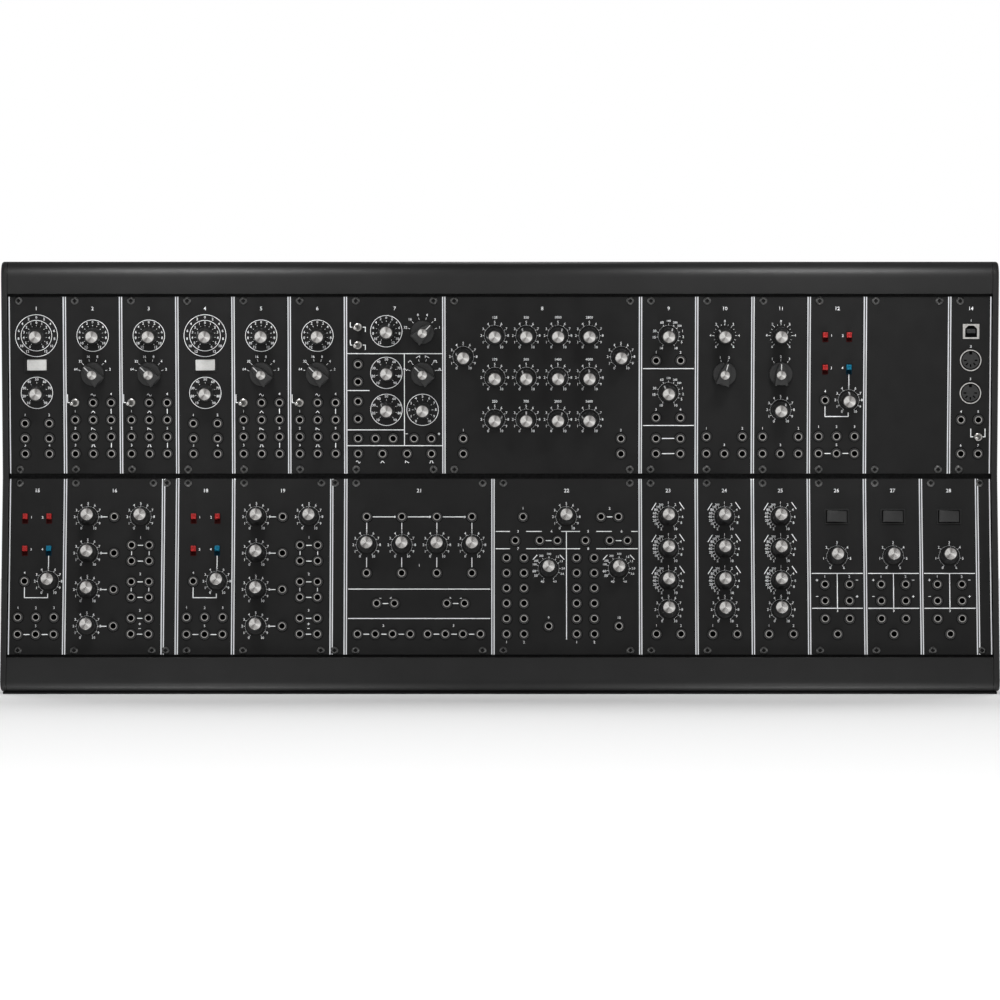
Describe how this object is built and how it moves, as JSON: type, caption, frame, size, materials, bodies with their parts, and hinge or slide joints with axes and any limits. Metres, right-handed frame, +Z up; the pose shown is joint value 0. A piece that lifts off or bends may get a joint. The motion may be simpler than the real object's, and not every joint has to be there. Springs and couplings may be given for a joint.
{
  "type": "modular synthesizer",
  "caption": "Two rows of synthesizer modules with knobs, switches and patch sockets, in a folded steel case with end cheeks.",
  "frame": {"origin": "centre of the bounding box on the surface that the case stands on", "axes": "+X to the right along the rows of modules, +Y from the panels to the rear wall, +Z up"},
  "size_m": [0.721, 0.11, 0.3125],
  "materials": {
    "case": "fine powder coat, black",
    "panel": "satin black with silver print",
    "rail": "black anodised",
    "board": "solder mask",
    "black_plastic": "satin moulded",
    "white_plastic": "semi-gloss moulded",
    "red_plastic": "semi-gloss moulded",
    "blue_plastic": "semi-gloss moulded",
    "lever_metal": "bright plated"
  },
  "bodies": {
    "case": {"case_shell": "case", "right_cheek": "case", "left_cheek": "case", "upper_rail": "rail", "centre_rail": "rail", "lower_rail": "rail", "power_board": "board", "power_entry": "case", "oscillator_driver_1": "panel", "oscillator_1": "panel", "oscillator_2": "panel", "oscillator_driver_2": "panel", "oscillator_3": "panel", "oscillator_4": "panel", "voltage_oscillator": "panel", "filter_bank": "panel", "twin_filter": "panel", "high_pass_filter": "panel", "low_pass_filter": "panel", "control_voltage_panel": "panel", "wide_blank_panel": "panel", "midi_converter": "panel", "oscillator_controller_1": "panel", "mixer_1": "panel", "narrow_blank_panel_1": "panel", "oscillator_controller_2": "panel", "mixer_2": "panel", "narrow_blank_panel_2": "panel", "attenuator_panel": "panel", "trigger_interface": "panel", "envelope_1": "panel", "envelope_2": "panel", "envelope_3": "panel", "amplifier_1": "panel", "amplifier_2": "panel", "amplifier_3": "panel", "narrow_blank_panel_3": "panel"},
    "power_switch": {"power_switch": "black_plastic"},
    "driver_frequency_knob": {"driver_frequency_knob": "black_plastic"},
    "driver_range_rocker": {"driver_range_rocker": "white_plastic"},
    "oscillator_frequency_knob": {"oscillator_frequency_knob": "black_plastic"},
    "oscillator_range_selector": {"oscillator_range_selector": "black_plastic"},
    "oscillator_sync_toggle": {"oscillator_sync_toggle": "lever_metal"},
    "voltage_oscillator_tune_knob": {"voltage_oscillator_tune_knob": "black_plastic"},
    "voltage_oscillator_octave_selector": {"voltage_oscillator_octave_selector": "black_plastic"},
    "voltage_oscillator_sync_toggle": {"voltage_oscillator_sync_toggle": "lever_metal"},
    "filter_bank_level_knob": {"filter_bank_level_knob": "black_plastic"},
    "twin_filter_cutoff_knob": {"twin_filter_cutoff_knob": "black_plastic"},
    "high_pass_range_selector": {"high_pass_range_selector": "black_plastic"},
    "low_pass_cutoff_knob": {"low_pass_cutoff_knob": "black_plastic"},
    "low_pass_range_selector": {"low_pass_range_selector": "black_plastic"},
    "reference_voltage_slide": {"reference_voltage_slide": "blue_plastic"},
    "midi_mode_toggle": {"midi_mode_toggle": "lever_metal"},
    "controller_slide": {"controller_slide": "red_plastic"},
    "mixer_master_knob": {"mixer_master_knob": "black_plastic"},
    "attenuator_knob": {"attenuator_knob": "black_plastic"},
    "trigger_sensitivity_knob": {"trigger_sensitivity_knob": "black_plastic"},
    "envelope_attack_knob": {"envelope_attack_knob": "black_plastic"},
    "amplifier_response_rocker": {"amplifier_response_rocker": "black_plastic"},
    "amplifier_gain_knob": {"amplifier_gain_knob": "black_plastic"}
  },
  "joints": [
    {"name": "power_switch_rock", "type": "hinge", "parent": "case", "child": "power_switch", "pos_m": [0.28478, 0.05197, 0.044], "axis": [0, 0, 1], "range_deg": [-16, 0]},
    {"name": "driver_frequency_knob_turn", "type": "hinge", "parent": "case", "child": "driver_frequency_knob", "pos_m": [-0.33528, -0.03451, 0.25887], "axis": [0, 0.9945, 0.1045], "range_deg": [-90, 210]},
    {"name": "driver_range_rocker_rock", "type": "hinge", "parent": "case", "child": "driver_range_rocker", "pos_m": [-0.33528, -0.0323, 0.23778], "axis": [0, -0.1045, 0.9945], "range_deg": [-16, 0]},
    {"name": "oscillator_frequency_knob_turn", "type": "hinge", "parent": "case", "child": "oscillator_frequency_knob", "pos_m": [-0.29464, -0.03451, 0.25887], "axis": [0, 0.9945, 0.1045], "range_deg": [-36, 264]},
    {"name": "oscillator_range_selector_turn", "type": "hinge", "parent": "case", "child": "oscillator_range_selector", "pos_m": [-0.29464, -0.03161, 0.23127], "axis": [0, 0.9945, 0.1045], "range_deg": [-30, 120]},
    {"name": "oscillator_sync_toggle_throw", "type": "hinge", "parent": "case", "child": "oscillator_sync_toggle", "pos_m": [-0.30765, -0.02944, 0.21056], "axis": [0, -0.1045, 0.9945], "range_deg": [0, 24]},
    {"name": "voltage_oscillator_tune_knob_turn", "type": "hinge", "parent": "case", "child": "voltage_oscillator_tune_knob", "pos_m": [-0.08224, -0.03485, 0.26206], "axis": [0, 0.9945, 0.1045], "range_deg": [-172, 128]},
    {"name": "voltage_oscillator_octave_selector_turn", "type": "hinge", "parent": "case", "child": "voltage_oscillator_octave_selector", "pos_m": [-0.05607, -0.03478, 0.26143], "axis": [0, 0.9945, 0.1045], "range_deg": [-120, 30]},
    {"name": "voltage_oscillator_sync_toggle_throw", "type": "hinge", "parent": "case", "child": "voltage_oscillator_sync_toggle", "pos_m": [-0.1028, -0.03517, 0.26507], "axis": [0, -0.1045, 0.9945], "range_deg": [0, 24]},
    {"name": "filter_bank_level_knob_turn", "type": "hinge", "parent": "case", "child": "filter_bank_level_knob", "pos_m": [-0.0038, -0.03451, 0.25887], "axis": [0, 0.9945, 0.1045], "range_deg": [-51, 249]},
    {"name": "twin_filter_cutoff_knob_turn", "type": "hinge", "parent": "case", "child": "twin_filter_cutoff_knob", "pos_m": [0.12192, -0.03451, 0.25887], "axis": [0, 0.9945, 0.1045], "range_deg": [-177, 123]},
    {"name": "high_pass_range_selector_turn", "type": "hinge", "parent": "case", "child": "high_pass_range_selector", "pos_m": [0.16256, -0.03161, 0.23127], "axis": [0, 0.9945, 0.1045], "range_deg": [-30, 0]},
    {"name": "low_pass_cutoff_knob_turn", "type": "hinge", "parent": "case", "child": "low_pass_cutoff_knob", "pos_m": [0.2032, -0.03451, 0.25887], "axis": [0, 0.9945, 0.1045], "range_deg": [-207, 93]},
    {"name": "low_pass_range_selector_turn", "type": "hinge", "parent": "case", "child": "low_pass_range_selector", "pos_m": [0.2032, -0.03161, 0.23127], "axis": [0, 0.9945, 0.1045], "range_deg": [-30, 30]},
    {"name": "reference_voltage_slide_travel", "type": "slide", "parent": "case", "child": "reference_voltage_slide", "axis": [0, 0.1045, -0.9945], "range_m": [0, 0.0031]},
    {"name": "midi_mode_toggle_throw", "type": "hinge", "parent": "case", "child": "midi_mode_toggle", "pos_m": [0.34646, -0.02683, 0.18577], "axis": [0, -0.1045, 0.9945], "range_deg": [0, 24]},
    {"name": "controller_slide_travel", "type": "slide", "parent": "case", "child": "controller_slide", "axis": [0, -0.1564, -0.9877], "range_m": [0, 0.0031]},
    {"name": "mixer_master_knob_turn", "type": "hinge", "parent": "case", "child": "mixer_master_knob", "pos_m": [-0.26027, -0.0285, 0.12778], "axis": [0, 0.9877, -0.1564], "range_deg": [-150, 150]},
    {"name": "attenuator_knob_turn", "type": "hinge", "parent": "case", "child": "attenuator_knob", "pos_m": [-0.0965, -0.03172, 0.10748], "axis": [0, 0.9877, -0.1564], "range_deg": [-150, 150]},
    {"name": "trigger_sensitivity_knob_turn", "type": "hinge", "parent": "case", "child": "trigger_sensitivity_knob", "pos_m": [0.04805, -0.0285, 0.12778], "axis": [0, 0.9877, -0.1564], "range_deg": [-150, 150]},
    {"name": "envelope_attack_knob_turn", "type": "hinge", "parent": "case", "child": "envelope_attack_knob", "pos_m": [0.12192, -0.0285, 0.12778], "axis": [0, 0.9877, -0.1564], "range_deg": [-150, 150]},
    {"name": "amplifier_response_rocker_rock", "type": "hinge", "parent": "case", "child": "amplifier_response_rocker", "pos_m": [0.24384, -0.02848, 0.12791], "axis": [0, 0.1564, 0.9877], "range_deg": [-16, 0]},
    {"name": "amplifier_gain_knob_turn", "type": "hinge", "parent": "case", "child": "amplifier_gain_knob", "pos_m": [0.24384, -0.033, 0.09935], "axis": [0, 0.9877, -0.1564], "range_deg": [-150, 150]}
  ]
}
